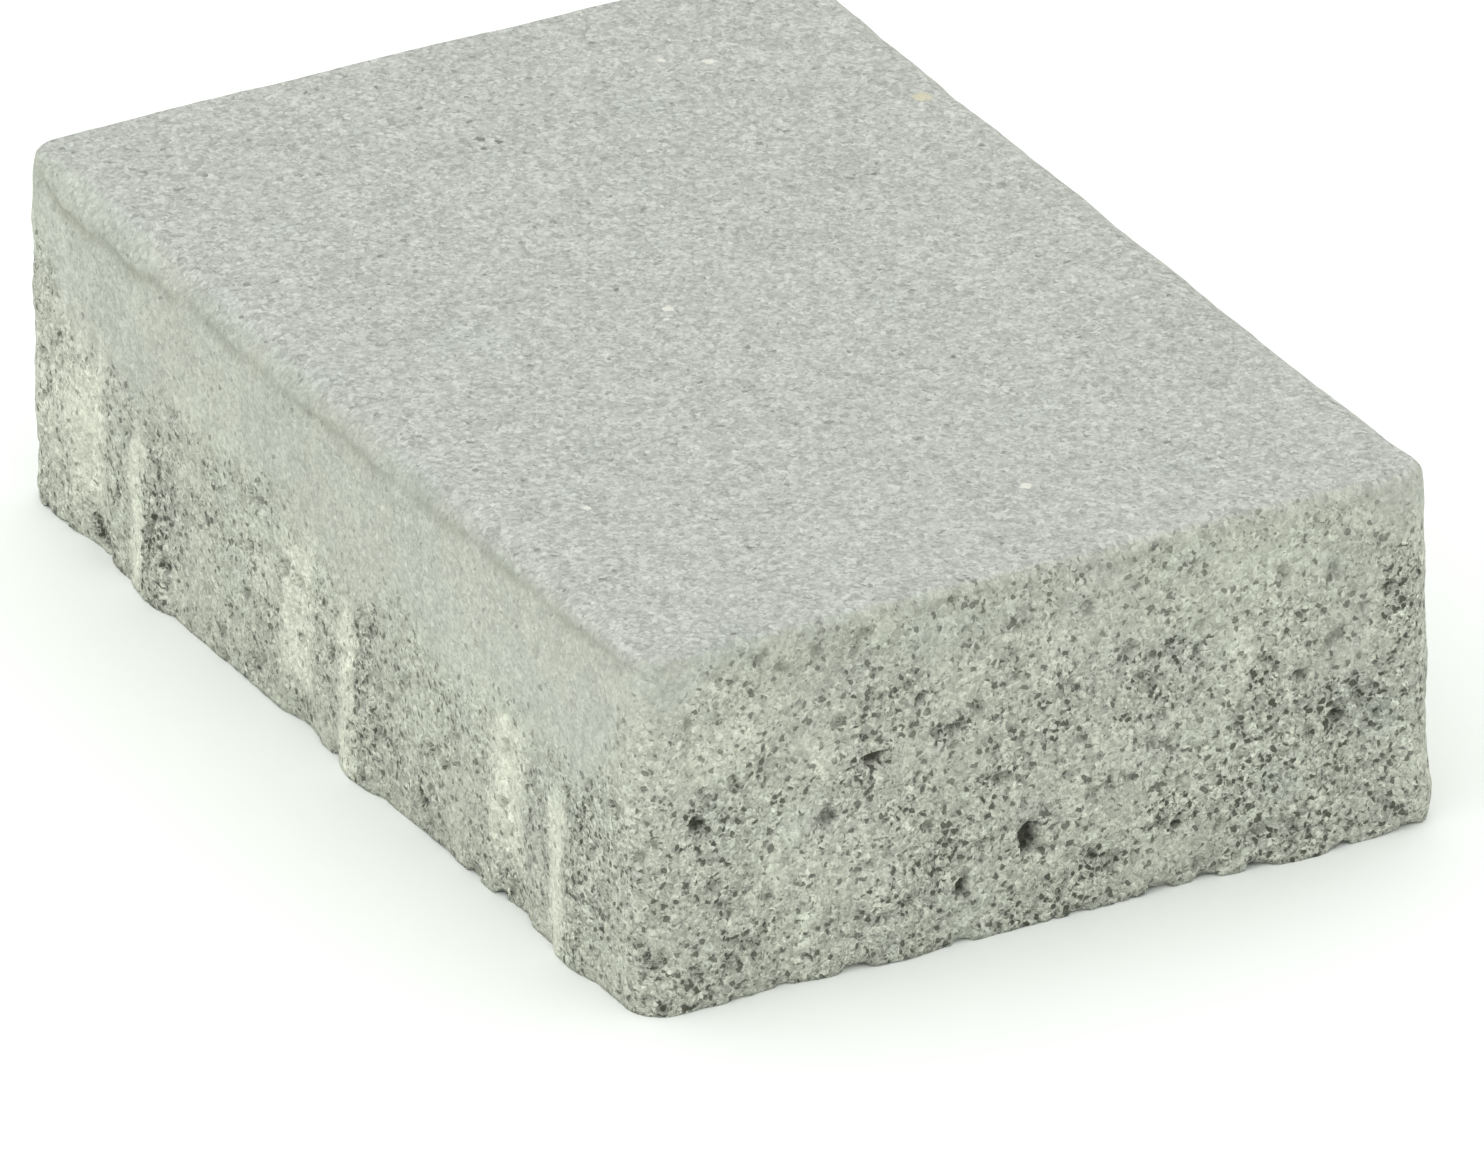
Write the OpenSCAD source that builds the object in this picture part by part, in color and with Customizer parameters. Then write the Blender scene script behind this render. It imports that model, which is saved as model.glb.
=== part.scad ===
// Concrete block paver: one cast stone with eased top edges, rounded corners
// and interlock units (a rib beside a recess) around the lower half of its sides.
// Its bed lies on z = 0, its long sides run along X and its face mix is on top.

/* [Stone] */
// Length of the stone, without its ribs
stone_length = 206; // [120:1:320]
// Width of the stone, without its ribs
stone_width = 136; // [80:1:240]
// Thickness, from the bed to the walking face
stone_height = 60; // [45:1:120]

/* [Edges] */
// Radius of the upright corners
corner_radius = 6; // [3:0.5:12]
// Radius of the eased top edge along each long side
long_edge_radius = 5; // [1:0.5:8]
// Radius of the eased top edge along each short side
short_edge_radius = 2; // [1:0.5:8]

/* [Interlock units] */
// Spacing of the units, the same on all sides so that any two sides fit together
unit_pitch = 70; // [50:1:90]
// Distance from the middle of a unit to its rib, and to its recess
unit_offset = 10; // [9:0.5:14]
// Radius across a rib, and across a recess
rib_radius = 18; // [12:1:24]
// How far a rib stands out at the bed
rib_proud = 1.5; // [0.8:0.1:2]
// How deep a recess is at the bed
recess_depth = 1.2; // [0.6:0.1:2]
// Height at which ribs and recesses run out into the side
unit_rise = 34; // [20:1:40]

/* [Hidden] */
$fn = 96;

// Half the width of a rib where it meets the side, and the room that half a unit takes
rib_reach = sqrt(rib_radius * rib_radius - pow(rib_radius - rib_proud, 2));
unit_reach = unit_offset + rib_reach + corner_radius;

// Lean that takes a rib or a recess from its full size at the bed to nothing
rib_lean = atan(rib_proud / unit_rise);
recess_lean = atan(recess_depth / unit_rise);

// Depth by which a rib is rooted in the side, and overshoot of each cut
rib_root = 4;
overshoot = 6;

// How many units fit along a side
function units_on(side) = 1 + floor((side - 2 * unit_reach) / unit_pitch);

// Outline of the stone seen from above
module plan() {
    long_middle = stone_length - 2 * corner_radius;
    short_middle = stone_width - 2 * corner_radius;
    square([long_middle, stone_width], center = true);
    square([stone_length, short_middle], center = true);
    for (x = [-1, 1], y = [-1, 1])
        translate([x * long_middle / 2, y * short_middle / 2])
            circle(r = corner_radius);
}

// Section across the stone, standing on y = 0, with both top edges rounded
module eased_section(width, radius) {
    flat = width - 2 * radius;
    translate([-width / 2, 0]) square([width, stone_height - radius]);
    translate([-flat / 2, 0]) square([flat, stone_height]);
    for (side = [-1, 1])
        translate([side * flat / 2, stone_height - radius]) circle(r = radius);
}

// Bar of that section, along X
module eased_bar(length, width, radius) {
    rotate([90, 0, 90])
        translate([0, 0, -length / 2])
            linear_extrude(length) eased_section(width, radius);
}

// Stone without its interlock units
module stone_body() {
    intersection() {
        linear_extrude(stone_height) plan();
        eased_bar(stone_length + overshoot, stone_width, long_edge_radius);
        rotate(90) eased_bar(stone_width + overshoot, stone_length, short_edge_radius);
    }
}

// Rib on a side whose face is the plane y = 0, with the stone behind it at y > 0
module rib() {
    intersection() {
        translate([0, rib_radius - rib_proud, 0])
            rotate([-rib_lean, 0, 0])
                translate([0, 0, -overshoot])
                    cylinder(r = rib_radius, h = unit_rise + 2 * overshoot);
        translate([-rib_radius, -2 * rib_proud, 0])
            cube([2 * rib_radius, rib_root + 2 * rib_proud, unit_rise]);
    }
}

// Tool that cuts the matching recess into the same side
module recess() {
    translate([0, recess_depth - rib_radius, 0])
        rotate([recess_lean, 0, 0])
            translate([0, 0, -overshoot])
                cylinder(r = rib_radius, h = unit_rise + 2 * overshoot);
}

// Puts its children at each unit of one side, shifted along it. The side faces -Y.
module along_side(side, distance, shift) {
    units = units_on(side);
    for (unit = [0 : 1 : units - 1])
        translate([(unit - (units - 1) / 2) * unit_pitch + shift, -distance, 0])
            children();
}

// Puts its children at each unit, going round the stone
module at_units(shift) {
    for (turn = [0, 180]) {
        rotate(turn) along_side(stone_length, stone_width / 2, shift) children();
        rotate(turn + 90) along_side(stone_width, stone_length / 2, shift) children();
    }
}

module paving_stone() {
    color([0.66, 0.65, 0.62]) {
        difference() {
            stone_body();
            at_units(-unit_offset) recess();
        }
        at_units(unit_offset) rib();
    }
}

paving_stone();
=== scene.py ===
"""Concrete block paver: one cast stone with a fine face mix over coarser concrete, on a pale studio floor.

The stone is one closed mesh. It starts as the cells of a box's surface. It takes the stone's rounded form,
then its interlock units, then the relief that casting and handling leave. Lengths are millimetres until the
mesh is made.
"""

import itertools
import math

import bpy
import numpy as np
from mathutils import Matrix, Vector


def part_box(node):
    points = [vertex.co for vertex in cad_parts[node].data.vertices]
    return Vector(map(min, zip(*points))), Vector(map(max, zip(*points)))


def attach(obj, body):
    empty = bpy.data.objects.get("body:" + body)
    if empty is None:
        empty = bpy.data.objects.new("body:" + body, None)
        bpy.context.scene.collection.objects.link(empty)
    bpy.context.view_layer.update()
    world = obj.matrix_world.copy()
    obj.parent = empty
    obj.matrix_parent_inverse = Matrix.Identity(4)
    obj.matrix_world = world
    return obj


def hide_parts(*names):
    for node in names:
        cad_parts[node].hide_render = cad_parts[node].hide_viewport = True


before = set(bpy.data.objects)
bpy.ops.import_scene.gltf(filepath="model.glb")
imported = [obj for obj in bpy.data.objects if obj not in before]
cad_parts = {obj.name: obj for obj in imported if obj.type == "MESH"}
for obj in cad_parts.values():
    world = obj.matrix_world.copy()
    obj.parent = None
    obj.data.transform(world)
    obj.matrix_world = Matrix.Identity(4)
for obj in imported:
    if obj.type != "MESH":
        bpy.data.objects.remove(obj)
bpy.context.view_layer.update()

MM = 0.001

# ---------------------------------------------------------------- sizes

NODE = "paving_stone"
box_low, box_high = (np.array(corner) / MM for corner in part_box(NODE))
HEIGHT = box_high[2] - box_low[2]
SKIN = 0.04  # clearance that keeps the relief inside the CAD box

RIB_PROUD = 1.5
RECESS_DEPTH = 1.2
UNIT_RADIUS = 18.0  # across a rib and across a recess
UNIT_OFFSET = 10.0  # from the middle of a unit to its rib, and to its recess
UNIT_RISE = 34.0
UNIT_PITCH = 70.0
SHORT_SIDE_SHARE = 0.65  # how much of the ribs and recesses the rough short sides show
HALF = box_high[:2] - RIB_PROUD - SKIN  # half the body's length and width
SIDE_DEPTH = 1.2  # points this close to a side's plane belong to the side

CORNER_RADIUS = 6.0
ARRIS_FULLNESS = 1.5  # section of the worn top edge: 1 is a straight chamfer, 2 a round edge
CELL = 0.8  # size of a mesh cell
RIM = 10  # cells of full size around the top and the bed, whose middles are twice as coarse


# ---------------------------------------------------------------- noise

def scramble(x, y, z, seed):
    """Repeatable pseudo-random integers, one for each lattice point."""
    h = (x * 374761393 + y * 668265263 + z * 2147483647 + seed * 974634777) & 0xFFFFFFFF
    h = ((h ^ (h >> 13)) * 1274126177) & 0xFFFFFFFF
    h = ((h ^ (h >> 16)) * 2246822519) & 0xFFFFFFFF
    return h ^ (h >> 15)


def smooth_noise(points, size, seed):
    """Gradient noise, about -1 to 1, with lumps about size across. size may differ by axis."""
    cell = points / np.asarray(size, float)
    base = np.floor(cell).astype(np.int64)
    part = cell - base
    fade = part ** 3 * (part * (part * 6 - 15) + 10)
    total = np.zeros(len(points))
    for corner in itertools.product((0, 1), repeat=3):
        h = scramble(*(base + corner).T, seed)
        slopes = np.stack([(h >> shift & 1023) / 511.5 - 1 for shift in (0, 10, 20)], axis=1)
        weight = np.prod(np.where(corner, fade, 1 - fade), axis=1)
        total += weight * np.sum(slopes * (part - corner), axis=1)
    return total * 1.6


def rough_noise(points, size, seed, layers=3):
    """Layers of smooth noise, each half the size and about half the strength of the last."""
    size = np.asarray(size, float)
    return sum(smooth_noise(points, size / 2 ** k, seed + k) * 0.55 ** k for k in range(layers))


def grains(points, size, seed):
    """Packed grains of about this size: how far each point is from the middle of its grain and from the next
    grain, both in grain sizes, and a random number for each grain."""
    cell = points / size
    base = np.floor(cell).astype(np.int64)
    nearest = np.full(len(points), 9.0)
    second = nearest.copy()
    pick = np.zeros(len(points))
    for offset in itertools.product((-1, 0, 1), repeat=3):
        corner = base + offset
        h = scramble(*corner.T, seed)
        middle = corner + np.stack([(h >> shift & 1023) / 1023 for shift in (0, 10, 20)], axis=1)
        distance = np.linalg.norm(middle - cell, axis=1)
        closer = distance < nearest
        second = np.where(closer, nearest, np.minimum(second, distance))
        pick = np.where(closer, (scramble(*corner.T, seed + 1) & 4095) / 4095, pick)
        nearest = np.minimum(nearest, distance)
    return nearest, second - nearest, pick


def bent(points, size, amount, seed):
    """The points, each pushed about by noise, for outlines that are not too regular."""
    return points + amount * np.stack([smooth_noise(points, size, seed + k) for k in range(3)], axis=1)


def ramp(value, low, high):
    """0 below low, 1 above high, smooth between."""
    t = np.clip((value - low) / (high - low), 0, 1)
    return t * t * (3 - 2 * t)


def bump(value, middle, reach, soft):
    """1 within reach of the middle, 0 beyond it, soft at the ends."""
    return ramp(reach - np.abs(value - middle), -soft, soft)


# ---------------------------------------------------------------- mesh of the bare form

def plate(nx, ny):
    """Cells of a rectangle of nx by ny steps: single steps along its rim and double steps inside it."""
    cells = [[(i, j), (i + 1, j), (i + 1, j + 1), (i, j + 1)]
             for i in range(nx) for j in range(ny) if min(i, nx - 1 - i, j, ny - 1 - j) < RIM]
    for i in range(RIM, nx - RIM, 2):
        for j in range(RIM, ny - RIM, 2):
            outline = [(i, j)]
            outline += [(i + 1, j)] * (j == RIM) + [(i + 2, j)]
            outline += [(i + 2, j + 1)] * (i + 2 == nx - RIM) + [(i + 2, j + 2)]
            outline += [(i + 1, j + 2)] * (j + 2 == ny - RIM) + [(i, j + 2)]
            outline += [(i, j + 1)] * (i == RIM)
            cells.append(outline)
    return cells


def wall(n, m):
    """Cells of a rectangle of n by m steps."""
    return [[(i, j), (i + 1, j), (i + 1, j + 1), (i, j + 1)] for i in range(n) for j in range(m)]


def box_cells(counts):
    """Lattice points and faces of a box's surface, as integer steps."""
    nx, ny, nz = counts
    flat, long_wall, short_wall = plate(nx, ny), wall(nx, nz), wall(ny, nz)
    faces = [[(i, j, nz) for i, j in cell] for cell in flat]
    faces += [[(i, j, 0) for i, j in reversed(cell)] for cell in flat]
    faces += [[(i, 0, k) for i, k in cell] for cell in long_wall]
    faces += [[(i, ny, k) for i, k in reversed(cell)] for cell in long_wall]
    faces += [[(nx, j, k) for j, k in cell] for cell in short_wall]
    faces += [[(0, j, k) for j, k in reversed(cell)] for cell in short_wall]
    place = {}
    faces = [[place.setdefault(corner, len(place)) for corner in face] for face in faces]
    return np.array(list(place)), faces


def on_long_sides(points, start, end):
    """0 on the short sides, 1 on the long sides away from their ends, smooth between the two distances."""
    return ramp(HALF[0] - np.abs(points[:, 0]), start, end)


def arris_size(points):
    """How far the worn edge reaches into the walking face and down the side, at each point. It is larger on
    the long sides, where it also drops further towards -X."""
    long_share = on_long_sides(points, 2, 16)
    plan = points * (1, 1, 0)
    uneven = rough_noise(plan, 26, 11) + 0.5 * smooth_noise(plan, 7, 14)
    reach = 2.3 + 2.9 * long_share + (0.4 + 0.7 * long_share) * uneven
    askew = -0.018 * points[:, 0]
    drop = 2.0 + (2.3 + askew) * long_share + (0.4 + 0.4 * long_share) * rough_noise(plan, 30, 17)
    return np.clip(reach, 1.4, 7), np.clip(drop, 1.3, 7)


def stone_form(steps, counts):
    """Points of the rounded stone, and how far below the arris's foot each one lies."""
    flat = steps / np.array(counts) * 2 - 1
    inset = (1 - np.abs(flat[:, :2])) * HALF
    depth = (1 - steps[:, 2] / counts[2]) * HEIGHT
    ring = inset.min(axis=1)

    outer = np.column_stack([flat[:, :2] * HALF, np.zeros(len(flat))])
    reach, drop = arris_size(outer)
    on_side = (ring == 0) & (depth < drop)
    on_top = (depth == 0) & (ring < reach)
    turn = np.zeros(len(flat))
    turn[on_side] = 0.5 * (1 - depth[on_side] / drop[on_side])
    turn[on_top] = 0.5 * (1 + ring[on_top] / reach[on_top])
    worn = on_side | on_top
    angle = turn[worn] * math.pi / 2
    new_ring, new_depth = ring.copy(), depth.copy()
    new_ring[worn] = reach[worn] * (1 - np.cos(angle) ** (2 / ARRIS_FULLNESS))
    new_depth[worn] = drop[worn] * (1 - np.sin(angle) ** (2 / ARRIS_FULLNESS))

    # Near a corner the other side's inset follows, so that the rings stay rings
    other = inset.max(axis=1)
    near = worn & (other < reach)
    slide = (other[near] - ring[near]) / np.maximum(reach[near] - ring[near], 1e-9)
    new_other = other.copy()
    new_other[near] = new_ring[near] + slide * (reach[near] - new_ring[near])
    first = inset[:, 0] <= inset[:, 1]
    new_inset = np.where(first[:, None], np.column_stack([new_ring, new_other]),
                         np.column_stack([new_other, new_ring]))

    # Square corners of each ring become arcs
    from_middle = np.maximum(CORNER_RADIUS - new_inset, 0)
    longest = from_middle.max(axis=1)
    length = np.maximum(np.hypot(*from_middle.T), 1e-9)
    in_corner = (from_middle > 0).all(axis=1)
    rounded = CORNER_RADIUS - from_middle * (longest / length)[:, None]
    new_inset[in_corner] = rounded[in_corner]

    points = np.column_stack([np.sign(flat[:, :2]) * (HALF - new_inset), HEIGHT - new_depth])
    return points, depth - drop


def mesh_normals(points, faces):
    """Normal of the surface at each point."""
    mesh = bpy.data.meshes.new("form")
    mesh.from_pydata(points.tolist(), [], faces)
    mesh.update()
    normals = np.empty(len(points) * 3)
    mesh.vertex_normals.foreach_get("vector", normals)
    bpy.data.meshes.remove(mesh)
    return normals.reshape(-1, 3)


# ---------------------------------------------------------------- interlock units

SIDES = (  # outward direction, direction along the side going round the stone, distance, units
    ((0, -1), (1, 0), HALF[1], 3),
    ((1, 0), (0, 1), HALF[0], 2),
    ((0, 1), (-1, 0), HALF[1], 3),
    ((-1, 0), (0, -1), HALF[0], 2),
)


def along_units(points):
    """For each unit: whether it is on a long side, the outward direction, a mask of the side's points, and
    their distance along it from the middle of the unit."""
    for out, along, distance, units in SIDES:
        on_it = points[:, :2] @ np.array(out) > distance - SIDE_DEPTH
        run = points[:, :2] @ np.array(along)
        for unit in range(units):
            yield units == 3, np.array(out), on_it, run - (unit - (units - 1) / 2) * UNIT_PITCH


def unit_relief(points):
    """Shift of each side point by the ribs and recesses."""
    shift = np.zeros((len(points), 2))
    left = np.clip(1 - points[:, 2] / UNIT_RISE, 0, 1)
    for on_long, out, on_it, run in along_units(points):
        rib = RIB_PROUD * left - (run - UNIT_OFFSET) ** 2 / (2 * UNIT_RADIUS)
        recess = RECESS_DEPTH * left - (run + UNIT_OFFSET) ** 2 / (2 * UNIT_RADIUS)
        move = (np.maximum(rib, 0) - np.maximum(recess, 0)) * (1.0 if on_long else SHORT_SIDE_SHARE)
        shift[on_it] += np.outer(move[on_it], out)
    return shift


def unit_marks(points):
    """How pale and how dark the sides are beside each unit, each from 0 to 1. Pale is paste that the mould
    rubbed, with a painted highlight on the lit flank of each long-side rib; dark is painted shade on the far
    flank of each rib and a painted shadow low in each long-side recess."""
    pale = np.zeros(len(points))
    dark = np.zeros(len(points))
    z = points[:, 2]
    fray = 1.6 * rough_noise(points, (4, 4, 9), 31, 2)
    top_fray = 5 * smooth_noise(points, (6, 6, 12), 33)
    for on_long, _, on_it, run in along_units(points):
        run = run + fray
        if on_long:
            leaning = run + 0.12 * (20 - z)
            broad = bump(leaning, -11, 5, 2.2) * ramp(z, 4, 10) * ramp(37 + top_fray - z, 0, 9)
            # Painted highlight on the rib's flank that faces back along the side
            lit_flank = bump(run, 6, 3.2, 1.3) * ramp(30 + top_fray - z, 0, 7)
            # Painted shade on the rib's crest and far flank
            foot = bump(run, 11.5, 3.0, 1.8) * ramp(33 + top_fray - z, 0, 7)
            # Painted shadow low in the recess, at the base of the side
            under = bump(run, -10, 3.5, 1.5) * bump(z, 3.5, 1.5, 1.5)
            marks = np.maximum(broad, lit_flank), np.maximum(0.6 * foot, 0.8 * under)
        else:
            rubbed = 0.3 * bump(run, -11, 5, 4) * bump(z, 22, 12, 7)
            # Painted shade on the far flank of each short-side rib
            short_far_flank_shade = 0.3 * bump(run, 14, 5, 5) * bump(z, 20, 10, 6)
            marks = rubbed, short_far_flank_shade
        pale = np.maximum(pale, np.where(on_it, marks[0], 0))
        dark = np.maximum(dark, np.where(on_it, marks[1], 0))
    return np.maximum(pale, patches(points, PALE_PATCHES, 5, 3.0, 0.8)), dark


# ---------------------------------------------------------------- relief

def face_mix_share(points):
    """1 in the fine face mix, 0 in the coarser concrete under it. The mix was pressed further down the long
    sides and the corners."""
    z = points[:, 2]
    from_corner = HALF[1] - np.abs(points[:, 1])
    long_share = on_long_sides(points, 2, 22)
    edge = 53 + 8 * ramp(from_corner, 3, 18)
    edge += (37 - edge) * long_share
    tongues = 4.5 * rough_noise(points * (1, 1, 0.4), 24, 51) + 2.5 * rough_noise(points, 5, 55, 2)
    return ramp(z + tongues * (0.4 + 0.6 * long_share) - edge, -5 - 4 * long_share, 2 + 4 * long_share)


FRONT, END = "-Y side", "+X side"
POCKETS = (  # open, pitted places: side, distance along it, height, half width, half height, how open
    (END, 50, 24, 7, 5, 0.9), (END, 22, 13, 6, 4, 0.85), (END, 36, 15, 4, 5, 0.75),
    (END, 8, 7, 6, 4, 0.8), (END, -3, 15, 4, 4, 0.6), (END, -29, 35, 4, 2, 0.9),
    (END, -15, 36, 4, 2, 0.8), (END, -58, 30, 5, 4, 0.9), (END, -8, 26, 6, 2, 0.7),
    (END, -27, 10, 6, 5, 0.65), (END, -52, 9, 5, 5, 0.6), (END, -36, 27, 4, 2, 0.6),
    (END, 24, 40, 5, 2, 0.9), (END, 38, 31, 3, 6, 0.9), (END, -22, 45, 6, 4, 0.6),
    (END, 62, 40, 4, 9, 0.7), (END, 65, 56, 5, 4, 0.8), (FRONT, 13, 28, 4, 9, 0.7),
    (FRONT, -57, 12, 5, 10, 0.6), (FRONT, 84, 24, 4, 8, 0.7), (FRONT, 32, 6, 6, 4, 0.6),
    (FRONT, -78, 3, 6, 2, 0.8),
)
PALE_PATCHES = (  # smoother, paler places: the same, and how pale
    (END, -34, 19, 13, 7, 0.40), (END, -54, 43, 7, 6, 0.55), (END, 32, 36, 3, 7, 0.6),
    (END, -37, 38, 3, 3, 0.5), (END, -40, 10, 4, 5, 0.35), (END, -3, 44, 16, 5, 0.25),
    (END, 32, 51, 3, 2, 0.4), (END, 15, 30, 10, 6, 0.2), (FRONT, -86, 20, 13, 18, 0.5),
    (FRONT, -38, 40, 14, 6, 0.2), (FRONT, 48, 30, 8, 8, 0.25), (FRONT, -22, 25, 8, 8, 0.3),
)
HOLES = (  # single deep holes: the same, and their depth
    (END, -2.5, 15, 1.3, 2.4, 2.4), (END, -14, 9.5, 1.0, 1.3, 1.7), (END, -58.5, 31, 1.1, 1.1, 1.5),
    (END, -28.5, 35, 2.0, 0.9, 1.4), (END, -15, 36.5, 1.8, 0.6, 1.1), (END, -20.5, 43, 0.7, 0.7, 1.2),
    (END, 50, 22.5, 1.4, 0.9, 1.2), (END, 44, 31, 1.0, 1.0, 1.2), (END, 23, 11, 0.8, 1.1, 1.1),
    (END, 8, 9, 0.9, 0.8, 1.1), (END, -7, 26, 1.6, 0.6, 1.0), (END, -36, 27, 1.6, 0.8, 1.1),
    (FRONT, 16.5, 18.5, 1.0, 0.9, 1.2), (FRONT, 30, 5.5, 1.2, 0.9, 1.2), (FRONT, -77, 2, 2.0, 1.0, 1.3),
)


def patches(points, places, fray, amount, soft):
    """Strongest of the listed places at each point: its strength, fading out at its frayed outline."""
    frayed = bent(points, fray, amount, 77)
    strongest = np.zeros(len(points))
    for side, along, height, half_width, half_height, strength in places:
        on_it = points[:, 0] > HALF[0] - 3 if side == END else points[:, 1] < 3 - HALF[1]
        run = frayed[:, 1] if side == END else frayed[:, 0]
        away = np.hypot((run - along) / half_width, (frayed[:, 2] - height) / half_height)
        strongest = np.maximum(strongest, np.where(on_it, strength * ramp(1 + soft / 2 - away, 0, soft), 0))
    return strongest


def porosity(points, core):
    """How open and pitted the surface is, 0 to 1."""
    crowd = 0.55 + 0.28 * rough_noise(points, 12, 75, 3)
    openness = core * np.clip(crowd, 0.25, 0.9) * (0.95 - 0.2 * on_long_sides(points, 1, 6))
    openness *= 0.6 + 0.4 * ramp(52 - points[:, 2], 0, 22)
    return np.maximum(openness, patches(points, POCKETS, 3, 1.5, 0.6) * core)


STONE_GRAIN, SMALL_STONE_GRAIN = 3.4, 2.0  # sizes of the stones whose lumps and holes show in the mesh
DARK_DEPTH = 1.4  # depth at which the painted shade in a hole is full


def relief(points, normals, core, openness):
    """How far the surface lies over the bare form, and how much of that are pits."""
    up = normals[:, 2]
    side = 1 - ramp(np.abs(up), 0.5, 0.95)
    swell = 0.26 * rough_noise(points, 55, 61, 2) + 0.16 * smooth_noise(points, 18, 64)
    sandy = 0.04 * smooth_noise(points, 2.4, 65)
    drag = 0.08 * smooth_noise(points, (2.6, 2.6, 40), 71) * side
    uneven = 0.22 * rough_noise(points, (12, 12, 7), 73, 2)
    uneven += 0.2 * ramp(smooth_noise(points, (15, 15, 6), 79), 0.1, 0.3)

    frayed = bent(points, 2.5, 0.7, 83)
    near, gap, pick = grains(frayed, STONE_GRAIN, 67)
    small_near, small_gap, small_pick = grains(frayed, SMALL_STONE_GRAIN, 69)
    lumps = 0.18 * (0.5 - near) + 0.20 * (0.5 - small_near) - 0.12 * np.exp(-(gap / 0.12) ** 2)
    missing = ramp(0.03 * openness - pick, -0.004, 0.004) * ramp(gap, 0.02, 0.2)
    small_missing = ramp(0.11 * openness - small_pick, -0.004, 0.004) * ramp(small_gap, 0.02, 0.22)
    pits = np.maximum(0.8 * missing, 0.7 * small_missing) * core
    pits = np.maximum(pits, patches(points, HOLES, 1.6, 0.4, 0.3))
    height = swell + sandy + drag + core * (0.35 + 0.65 * openness) * lumps + core * uneven - pits
    return height, pits


NICKS = (  # broken places along the bed's edge at +X: along Y, half width, size
    (-32, 2.2, 1.6), (-14, 1.5, 1.2), (6, 1.5, 0.9), (20, 2, 1.5), (28, 1.6, 1.7), (37, 2, 1.1),
    (63, 2, 1.3), (-52, 1.5, 1.0), (-44, 1.2, 0.8), (50, 1.5, 0.8),
)


def ragged_bed_edge(points):
    """Crumbled lower edge: how far its points draw in and up."""
    ring = (HALF - np.abs(points[:, :2])).min(axis=1)
    from_edge = np.hypot(np.maximum(ring, 0), points[:, 2])
    plan = points * (1, 1, 0)
    crumble = 0.15 + 0.12 * rough_noise(plan, 5, 91) + 0.9 * ramp(smooth_noise(plan, 3.5, 95), 0.58, 0.75)
    for y, width, size in NICKS:
        crumble += np.where(points[:, 0] > HALF[0] - 3, size * bump(points[:, 1], y, width, 0.6), 0)
    return np.clip(0.6 * crumble, 0, 1.6) * np.exp(-(from_edge / 1.4) ** 2)


BURR = (HALF[0], HALF[1] - 1, 5)  # middle of a small burr at the foot of the +X +Y corner
BURR_SIZE, BURR_HEIGHT = 4, 1.3


def pressed_bevel(bare, under_arris, normals, walking):
    """The crease under the worn edge and the lip below it on the long sides: the height they add, and how
    shaded the crease and the bevel are."""
    plan = bare * (1, 1, 0)
    below = under_arris + 1.3 * rough_noise(plan, 11, 97, 2)
    upright = ramp(np.abs(normals[:, :2]).max(axis=1), 0.4, 0.8)
    line = np.exp(-((below + 0.3) / 1.6) ** 2)
    crease = line * upright * (0.45 + 0.55 * on_long_sides(bare, 1, 14))
    crease *= 0.5 + 0.5 * ramp(rough_noise(plan, 20, 98, 2), -0.5, 0.3)
    lip = np.exp(-((below - 2.2) / 1.2) ** 2) * on_long_sides(bare, 4, 20)
    lip *= ramp(rough_noise(plan, 14, 102, 2), -0.4, 0.4)
    bevel = bump(below, -2.2, 2.0, 1.5) * on_long_sides(bare, 2, 12) * ramp(1 - walking, 0.2, 0.7)
    return 0.3 * lip - 0.6 * crease, np.clip(crease + 0.3 * bevel, 0, 1)


def mesh_object(name, points, faces, marks):
    """One mesh object in metres, with the marks that its material reads."""
    mesh = bpy.data.meshes.new(name)
    mesh.from_pydata((points * MM).tolist(), [], faces)
    for mark, values in marks.items():
        mesh.attributes.new(mark, "FLOAT", "POINT").data.foreach_set("value", values.astype(np.float32))
    mesh.shade_smooth()
    mesh.validate()
    stone = bpy.data.objects.new(name, mesh)
    bpy.context.collection.objects.link(stone)
    return stone


def build_stone():
    """The whole stone, with its form, units, relief and marks."""
    counts = [2 * round(HALF[0] / CELL), 2 * round(HALF[1] / CELL), round(HEIGHT / CELL)]
    steps, faces = box_cells(counts)
    points, under_arris = stone_form(steps, counts)
    bare = points.copy()
    points[:, :2] += unit_relief(bare)
    normals = mesh_normals(points, faces)

    walking = ramp(normals[:, 2], 0.6, 0.97)
    fine = np.maximum(face_mix_share(bare), walking)
    core = 1 - fine
    # pale: rubbed paste and a painted highlight on the ribs; dark: painted shade and shadow beside the ribs
    pale, dark = unit_marks(bare)
    openness = np.clip(porosity(bare, core) * (1 - 0.4 * pale) + 0.35 * dark * core, 0, 1)
    # The open core of the long sides is darker concrete as well
    dark = np.maximum(dark, 0.3 * core * on_long_sides(bare, 3, 12) * (1 - pale))
    height, pits = relief(points, normals, core, openness)

    bevel_height, shaded = pressed_bevel(bare, under_arris, normals, walking)
    height += bevel_height
    height += BURR_HEIGHT * np.exp(-(np.linalg.norm(bare - BURR, axis=1) / BURR_SIZE) ** 2)
    points += normals * height[:, None]
    crumble = ragged_bed_edge(bare)
    near_edge = HALF - np.abs(bare[:, :2]) < CORNER_RADIUS
    points[:, :2] -= np.sign(bare[:, :2]) * (crumble[:, None] * 0.9) * near_edge
    points[:, 2] += crumble * 0.7
    limit = box_high[:2] - SKIN
    points[:, :2] = np.clip(points[:, :2], -limit, limit)
    points[:, 2] = np.clip(points[:, 2], 0, HEIGHT)

    marks = {"fine": fine, "walking": walking, "pale": pale, "dark": dark, "open": openness,
             "pit_shade": np.clip(pits / DARK_DEPTH, 0, 1) ** 1.4, "crease": shaded}
    return mesh_object("cast_stone", points, faces, marks)


# ---------------------------------------------------------------- materials

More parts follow.
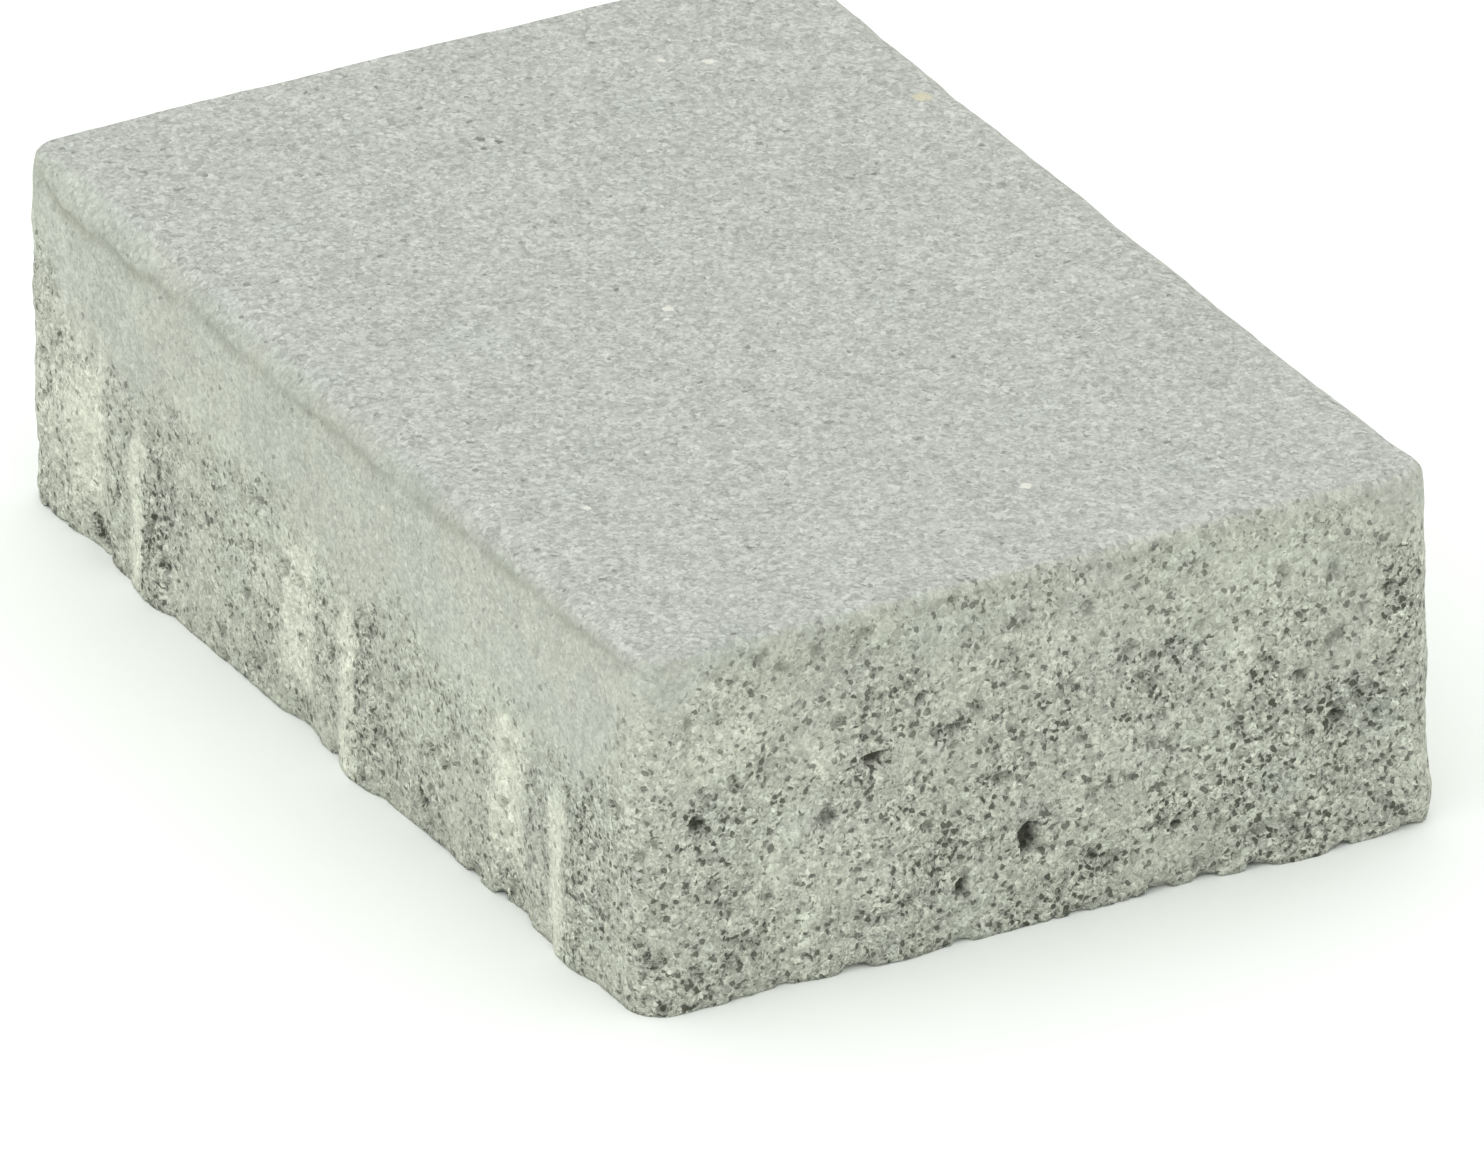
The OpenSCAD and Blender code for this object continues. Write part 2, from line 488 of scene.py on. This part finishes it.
WALKING_PASTE = (0.372, 0.386, 0.355, 1)
SIDE_PASTE = (0.375, 0.395, 0.343, 1)
CORE_PASTE = (0.412, 0.430, 0.362, 1)
WARM_STAIN = (0.40, 0.398, 0.347, 1)
COOL_STAIN = (0.34, 0.37, 0.338, 1)
# Rubbed paste, also used as the painted highlight on the ribs' lit flanks
RUBBED_AND_HIGHLIGHT = (0.56, 0.58, 0.485, 1)
# Open core concrete, also used as the painted shade and shadow beside the ribs
OPEN_CORE_AND_SHADE = (0.24, 0.26, 0.20, 1)
CREASE_SHADE = (0.22, 0.23, 0.19, 1)
WHITE_GRAIN = (0.58, 0.59, 0.54, 1)
# Painted shade inside open pores
PORE_SHADE = (0.065, 0.068, 0.048, 1)
# Painted shade inside holes
PIT_SHADE = (0.05, 0.053, 0.036, 1)
CHALK = (0.62, 0.62, 0.56, 1)
OCHRE = (0.50, 0.47, 0.33, 1)
# Painted shade of a pinhole
PINHOLE_SHADE = (0.13, 0.135, 0.11, 1)
FLOOR = (0.80, 0.83, 0.80, 1)

GRAIN, SMALL_GRAIN, SAND = 0.98, 0.56, 0.5  # sizes of the grains and of the sand between them
GRAINS_AND_PINHOLES_ON_TOP = (  # single grains and pinholes of the walking face, the pinholes painted dark as their shade: X, Y, radius, color
    (-2, -8, 1.3, CHALK), (1, -10, 0.6, CHALK), (78, 11, 1.2, CHALK), (-75, 37, 1.1, CHALK),
    (-79, 31, 0.8, CHALK), (52, -50, 0.7, CHALK), (-48, 60, 1.8, OCHRE), (-68, -6, 1.0, PINHOLE_SHADE),
    (-66, -4, 0.9, PINHOLE_SHADE), (-65, -7, 0.7, PINHOLE_SHADE), (-12, -12, 0.8, PINHOLE_SHADE), (76, -35, 0.8, PINHOLE_SHADE),
    (34, 22, 0.7, PINHOLE_SHADE), (-28, 41, 0.7, PINHOLE_SHADE), (-40, -38, 0.7, PINHOLE_SHADE),
)


class Nodes:
    """Short forms for building a node tree."""

    def __init__(self, material):
        material.use_nodes = True
        self.tree = material.node_tree
        self.shader = self.tree.nodes["Principled BSDF"]

    def put(self, socket, value):
        """Link the socket to another one, or set it to a plain value."""
        if isinstance(value, bpy.types.NodeSocket):
            self.tree.links.new(value, socket)
        else:
            socket.default_value = value

    def add(self, kind, **settings):
        node = self.tree.nodes.new(kind)
        for name, value in settings.items():
            setattr(node, name, value)
        return node

    def mark(self, name):
        """A mark of the mesh, by name."""
        return self.add("ShaderNodeAttribute", attribute_name=name).outputs["Fac"]

    def math(self, operation, a, b=0.5, clamp=False):
        node = self.add("ShaderNodeMath", operation=operation, use_clamp=clamp)
        self.put(node.inputs[0], a)
        self.put(node.inputs[1], b)
        return node.outputs[0]

    def between(self, value, low, high, start=0.0, end=1.0):
        """start where value is low, end where it is high, smooth between."""
        node = self.add("ShaderNodeMapRange", interpolation_type="SMOOTHSTEP")
        for name, number in zip(("Value", "From Min", "From Max", "To Min", "To Max"),
                                (value, low, high, start, end)):
            self.put(node.inputs[name], number)
        return node.outputs["Result"]

    def noise(self, place, size, detail=2.0, roughness=0.5, output="Fac"):
        node = self.add("ShaderNodeTexNoise")
        self.put(node.inputs["Vector"], place)
        self.put(node.inputs["Scale"], 1 / size)
        self.put(node.inputs["Detail"], detail)
        self.put(node.inputs["Roughness"], roughness)
        return node.outputs[output]

    def vector(self, operation, a, b):
        node = self.add("ShaderNodeVectorMath", operation=operation)
        self.put(node.inputs[0], a)
        self.put(node.inputs["Scale" if operation == "SCALE" else 1], b)
        return node.outputs[0]

    def distance(self, a, b):
        node = self.add("ShaderNodeVectorMath", operation="DISTANCE")
        self.put(node.inputs[0], a)
        self.put(node.inputs[1], b)
        return node.outputs["Value"]

    def bent(self, place, size, amount):
        """The place, pushed about by noise."""
        push = self.vector("SUBTRACT", self.noise(place, size, 1, output="Color"), (0.5, 0.5, 0.5))
        return self.vector("ADD", place, self.vector("SCALE", push, amount * 4))

    def cells(self, place, size):
        """Distance to the middle of the nearest grain, in grains, and two random numbers for each grain."""
        node = self.add("ShaderNodeTexVoronoi")
        self.put(node.inputs["Vector"], place)
        self.put(node.inputs["Scale"], 1 / size)
        separate = self.add("ShaderNodeSeparateColor")
        self.put(separate.inputs[0], node.outputs["Color"])
        return node.outputs["Distance"], separate.outputs[0], separate.outputs[1]

    def missing(self, share, pick, middle):
        """1 in the place of a missing grain, where this share of the grains is missing."""
        gone = self.scaled(self.math("SUBTRACT", share, pick), 60, 0.5)
        return self.math("MULTIPLY", self.math("MULTIPLY", gone, 1.0, clamp=True),
                         self.between(middle, 0.36, 0.50, 1, 0))

    def scaled(self, value, factor, plus=0.0):
        """value * factor + plus"""
        node = self.add("ShaderNodeMath", operation="MULTIPLY_ADD")
        for socket, number in zip(node.inputs, (value, factor, plus)):
            self.put(socket, number)
        return node.outputs[0]

    def swing(self, value, span):
        """A factor around 1: value swings about 0.5, and span is the whole swing."""
        return self.scaled(self.math("SUBTRACT", value, 0.5), span, 1.0)

    def blend(self, share, a, b, kind="MIX"):
        node = self.add("ShaderNodeMix", data_type="RGBA", blend_type=kind)
        self.put(node.inputs[0], share)
        self.put(node.inputs[6], a)
        self.put(node.inputs[7], b)
        return node.outputs[2]

    def gray(self, value):
        node = self.add("ShaderNodeCombineColor")
        for socket in node.inputs:
            self.put(socket, value)
        return node.outputs[0]


def concrete():
    """Cast concrete: fine pale face mix, coarser grey-green core, grains, pores, stains and rub marks, with
    painted highlight and shade beside the ribs and painted shade in the crease, the bevel, the pores and the
    holes.
    """
    material = bpy.data.materials.new("cast_concrete")
    n = Nodes(material)
    mm = n.vector("SCALE", n.add("ShaderNodeTexCoord").outputs["Object"], 1 / MM)
    names = ("fine", "walking", "pale", "dark", "open", "pit_shade", "crease")
    fine, walking, pale, dark, openness, pit_shade, crease = (n.mark(name) for name in names)
    core = n.math("SUBTRACT", 1.0, fine)

    # Paste: face mix on top, the same rubbed smooth on the sides, and the core
    color = n.blend(walking, SIDE_PASTE, WALKING_PASTE)
    color = n.blend(core, color, CORE_PASTE)
    warm = n.between(n.noise(mm, 22, 3), 0.42, 0.62)
    cool = n.between(n.noise(mm, 15, 3), 0.5, 0.68)
    color = n.blend(n.math("MULTIPLY", warm, n.scaled(walking, -0.2, 0.3)), color, WARM_STAIN)
    color = n.blend(n.math("MULTIPLY", cool, 0.25), color, COOL_STAIN)
    # Pale: paste rubbed by the mould, and a painted highlight on the lit flank of each rib
    color = n.blend(n.math("MULTIPLY", pale, 0.75), color, RUBBED_AND_HIGHLIGHT)
    # Dark: the open core of the long sides, and painted shade and shadow beside the ribs
    color = n.blend(n.math("MULTIPLY", dark, 0.4), color, OPEN_CORE_AND_SHADE)

    # Tone of the grains, with more contrast where the concrete is open
    rough = n.between(openness, 0.0, 0.8)
    frayed = n.bent(mm, 1.1, 0.35)
    middle, pick, other = n.cells(frayed, GRAIN)
    small_middle, small_pick, small_other = n.cells(frayed, SMALL_GRAIN)
    sand = n.noise(mm, SAND, 2, 0.7)
    lumps = n.noise(mm, 3.2, 3, 0.6)
    clouds = n.noise(mm, 9, 3, 0.55)
    drag = n.noise(n.vector("MULTIPLY", mm, (1, 1, 0.07)), 2.2, 2)
    grain_swing = n.math("ADD", n.scaled(rough, 0.42, 0.20), n.scaled(walking, 0.11))
    small_grain_swing = n.math("ADD", n.scaled(rough, 0.35, 0.26), n.scaled(walking, 0.12))
    tone = n.swing(pick, grain_swing)
    tone = n.math("MULTIPLY", tone, n.swing(small_pick, small_grain_swing))
    tone = n.math("MULTIPLY", tone, n.swing(sand, n.scaled(rough, 0.5, 0.45)))
    tone = n.math("MULTIPLY", tone, n.swing(lumps, n.scaled(rough, 0.18, 0.14)))
    tone = n.math("MULTIPLY", tone, n.swing(clouds, n.scaled(core, 0.12, 0.16)))
    tone = n.math("MULTIPLY", tone, n.swing(drag, n.scaled(walking, -0.25, 0.25)))
    color = n.blend(1.0, color, n.gray(tone), "MULTIPLY")

    # Grains that differ from the paste
    body = n.between(middle, 0.34, 0.46, 1, 0)
    white = n.math("MULTIPLY", body, n.between(other, 0.965, 0.97))
    color = n.blend(n.math("MULTIPLY", white, 0.55), color, WHITE_GRAIN)
    for x, y, radius, spot_color in GRAINS_AND_PINHOLES_ON_TOP:
        away = n.distance(frayed, (x, y, HEIGHT))
        color = n.blend(n.between(away, radius * 0.6, radius, 0.8, 0.0), color, spot_color)

    # Open pores, painted dark as the shade inside them
    pore = n.missing(n.scaled(openness, 0.30, 0.012), pick, middle)
    small_pore = n.missing(n.scaled(openness, 0.30, 0.035), small_other, small_middle)
    pores = n.math("MAXIMUM", pore, n.math("MULTIPLY", small_pore, 0.7))
    color = n.blend(n.math("MULTIPLY", pores, n.scaled(rough, 0.55, 0.35)), color, PORE_SHADE)

    color = n.blend(n.math("MULTIPLY", crease, 0.55), color, CREASE_SHADE)
    # Painted shade in holes and missing grains, darker the deeper they go
    color = n.blend(n.math("MULTIPLY", pit_shade, 0.88), color, PIT_SHADE)
    n.put(n.shader.inputs["Base Color"], color)
    n.put(n.shader.inputs["Roughness"], n.between(sand, 0.3, 0.7, 0.85, 0.98))
    n.shader.inputs["Specular IOR Level"].default_value = 0.25

    height = n.math("MULTIPLY", sand, n.scaled(rough, 0.30, 0.18))
    height = n.math("ADD", height, n.math("MULTIPLY", small_middle, n.scaled(rough, -0.25, -0.12)))
    height = n.math("ADD", height, n.math("MULTIPLY", middle, n.scaled(rough, -0.40, -0.06)))
    height = n.math("SUBTRACT", height, n.math("MULTIPLY", pores, n.scaled(rough, 0.45, 0.15)))
    bumps = n.add("ShaderNodeBump")
    bumps.inputs["Strength"].default_value = 1.0
    bumps.inputs["Distance"].default_value = 1.0 * MM
    n.put(bumps.inputs["Height"], height)
    n.put(n.shader.inputs["Normal"], bumps.outputs[0])
    return material


def plain(name, color, roughness):
    """One color all over."""
    material = bpy.data.materials.new(name)
    shader = Nodes(material).shader
    shader.inputs["Base Color"].default_value = color
    shader.inputs["Roughness"].default_value = roughness
    return material


# ---------------------------------------------------------------- studio

LENS = 994.6
CAMERA_AZIMUTH, CAMERA_ELEVATION, CAMERA_ROLL = 62.80, 26.68, -1.03
CAMERA_DISTANCE = 6.247  # metres
AIM_RIGHT, AIM_DOWN = 2.69, 15.07  # from the middle of the stone to the middle of the view
SKY_STRENGTH = 1.41
FLOOR_REACH = 6.0  # metres


def direction(azimuth, elevation):
    """Unit vector towards this azimuth and elevation. Azimuth 0 is the -Y side, 90 the +X side."""
    a, e = math.radians(azimuth), math.radians(elevation)
    return Vector((math.sin(a) * math.cos(e), -math.cos(a) * math.cos(e), math.sin(e)))


def facing(back, roll=0.0):
    """Rotation whose Z axis is back and whose X axis is level, turned by roll degrees."""
    right = Vector((0, 0, 1)).cross(back).normalized()
    up = back.cross(right)
    turn = Matrix.Rotation(math.radians(roll), 3, "Z")
    return Matrix((right, up, back)).transposed() @ turn


def add_camera(target):
    """A long lens from afar: the view is nearly free of perspective."""
    data = bpy.data.cameras.new("camera")
    data.lens = LENS
    data.clip_end = 50
    camera = bpy.data.objects.new("camera", data)
    bpy.context.collection.objects.link(camera)
    back = direction(CAMERA_AZIMUTH, CAMERA_ELEVATION)
    turn = facing(back, CAMERA_ROLL)
    aim = target + turn.col[0] * AIM_RIGHT * MM - turn.col[1] * AIM_DOWN * MM
    camera.matrix_world = Matrix.LocRotScale(aim + back * CAMERA_DISTANCE, turn.to_quaternion(), None)
    bpy.context.scene.camera = camera


def add_softbox(name, azimuth, elevation, distance, size, power, target):
    """A round area light. Distance and size are metres, power is watts."""
    data = bpy.data.lights.new(name, "AREA")
    data.shape = "DISK"
    data.size = size
    data.energy = power
    lamp = bpy.data.objects.new(name, data)
    bpy.context.collection.objects.link(lamp)
    back = direction(azimuth, elevation)
    lamp.matrix_world = Matrix.LocRotScale(target + back * distance, facing(back).to_quaternion(), None)


def add_floor():
    """A pale floor, a hair below the bed so that the two planes don't coincide."""
    mesh = bpy.data.meshes.new("floor")
    signs = ((-1, -1), (1, -1), (1, 1), (-1, 1))
    corners = [(x * FLOOR_REACH, y * FLOOR_REACH, -SKIN * MM) for x, y in signs]
    mesh.from_pydata(corners, [], [(0, 1, 2, 3)])
    mesh.materials.append(plain("floor", FLOOR, 0.9))
    floor = bpy.data.objects.new("floor", mesh)
    bpy.context.collection.objects.link(floor)


def add_sky(strength):
    """Even white light from all around."""
    world = bpy.data.worlds.new("studio")
    world.use_nodes = True
    background = world.node_tree.nodes["Background"]
    background.inputs["Color"].default_value = (1, 1, 1, 1)
    background.inputs["Strength"].default_value = strength
    bpy.context.scene.world = world


middle = Vector((0, 0, HEIGHT / 2 * MM))
add_camera(middle)
add_floor()
add_sky(SKY_STRENGTH)
add_softbox("fill", azimuth=0, elevation=18, distance=1.5, size=0.8, power=3.5, target=middle)

stone = build_stone()
stone.data.materials.append(concrete())
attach(stone, "root")
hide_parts(NODE)

bpy.context.scene.view_settings.view_transform = "Standard"
